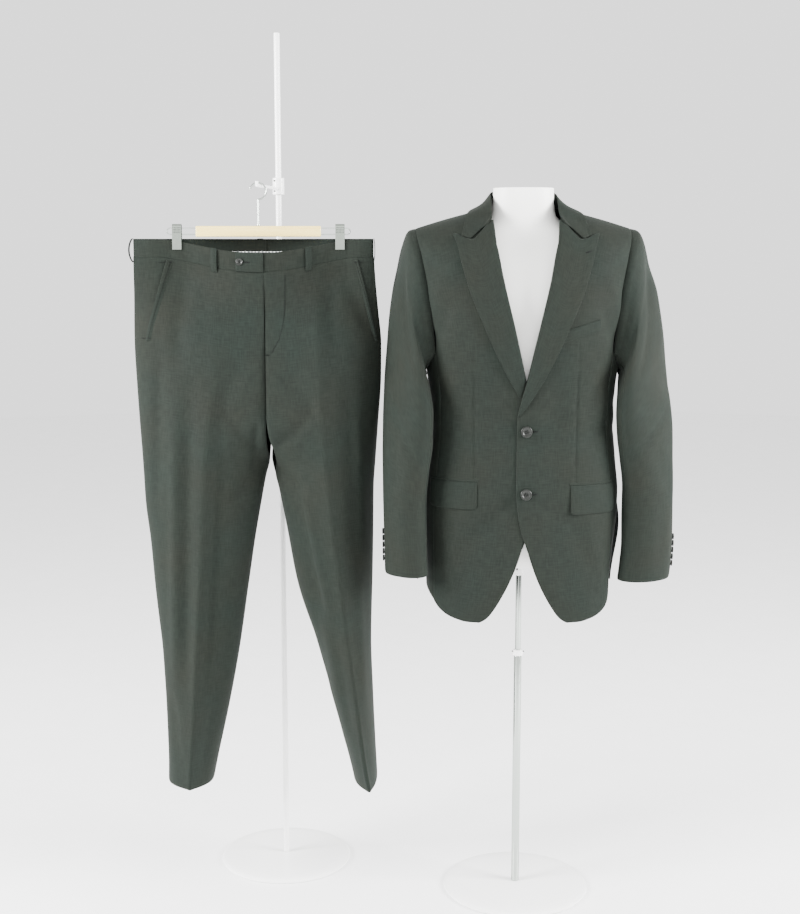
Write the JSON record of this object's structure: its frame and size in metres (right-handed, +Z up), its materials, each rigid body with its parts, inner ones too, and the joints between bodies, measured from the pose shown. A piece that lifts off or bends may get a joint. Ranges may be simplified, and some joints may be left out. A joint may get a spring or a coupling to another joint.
{
  "type": "two-piece suit on a limbless dress form and a clip hanger",
  "caption": "Single-breasted peak-lapel suit jacket on a limbless dress form, with its matching trousers hung by the waist from a clip hanger on a stand.",
  "frame": {"origin": "centre of the underside of the dress form's round base, on the floor", "axes": "+Z up, the fronts of both garments face -Y, and +X is the wearer's left"},
  "size_m": [1.0889, 0.432, 1.767],
  "materials": {
    "wool": "charcoal worsted with a faint fine grid",
    "lining": "pale grey cotton",
    "horn": "dark polished horn",
    "shell": "white, fine matt",
    "chrome": "polished",
    "enamel": "white enamel",
    "beech": "pale beech, clear lacquer"
  },
  "bodies": {
    "root": {"belt_loop_centre_back": "wool", "belt_loop_front_left": "wool", "belt_loop_front_right": "wool", "belt_loop_side_left": "wool", "belt_loop_side_right": "wool", "breast_welt": "wool", "collar": "wool", "cuff_button_left_1": "horn", "cuff_button_left_2": "horn", "cuff_button_left_3": "horn", "cuff_button_left_4": "horn", "cuff_button_left_5": "horn", "cuff_button_right_1": "horn", "cuff_button_right_2": "horn", "cuff_button_right_3": "horn", "cuff_button_right_4": "horn", "cuff_button_right_5": "horn", "form_base": "enamel", "form_pole_collar": "enamel", "form_pole_lower": "chrome", "form_pole_upper": "chrome", "form_socket": "enamel", "form_torso": "shell", "front_button_1": "horn", "front_button_2": "horn", "hanger_bar": "beech", "hanger_clip_left": "chrome", "hanger_clip_right": "chrome", "hanger_hook": "chrome", "hanger_wire_left": "chrome", "hanger_wire_right": "chrome", "jacket_back_left": "wool", "jacket_back_right": "wool", "jacket_front_left": "wool", "jacket_front_right": "wool", "jacket_side_left": "wool", "jacket_side_right": "wool", "lapel_left": "wool", "lapel_right": "wool", "pocket_edge_left": "wool", "pocket_edge_right": "wool", "pocket_flap_left": "wool", "pocket_flap_right": "wool", "sleeve_top_left": "wool", "sleeve_top_right": "wool", "sleeve_under_left": "wool", "sleeve_under_right": "wool", "stand_arm": "enamel", "stand_base": "enamel", "stand_clamp": "enamel", "stand_pole": "enamel", "trouser_back_left": "wool", "trouser_back_right": "wool", "trouser_front_left": "wool", "trouser_front_right": "wool", "waist_button": "horn", "waist_curtain": "lining", "waist_tab": "wool", "waistband_left": "wool", "waistband_right": "wool"}
  },
  "joints": []
}
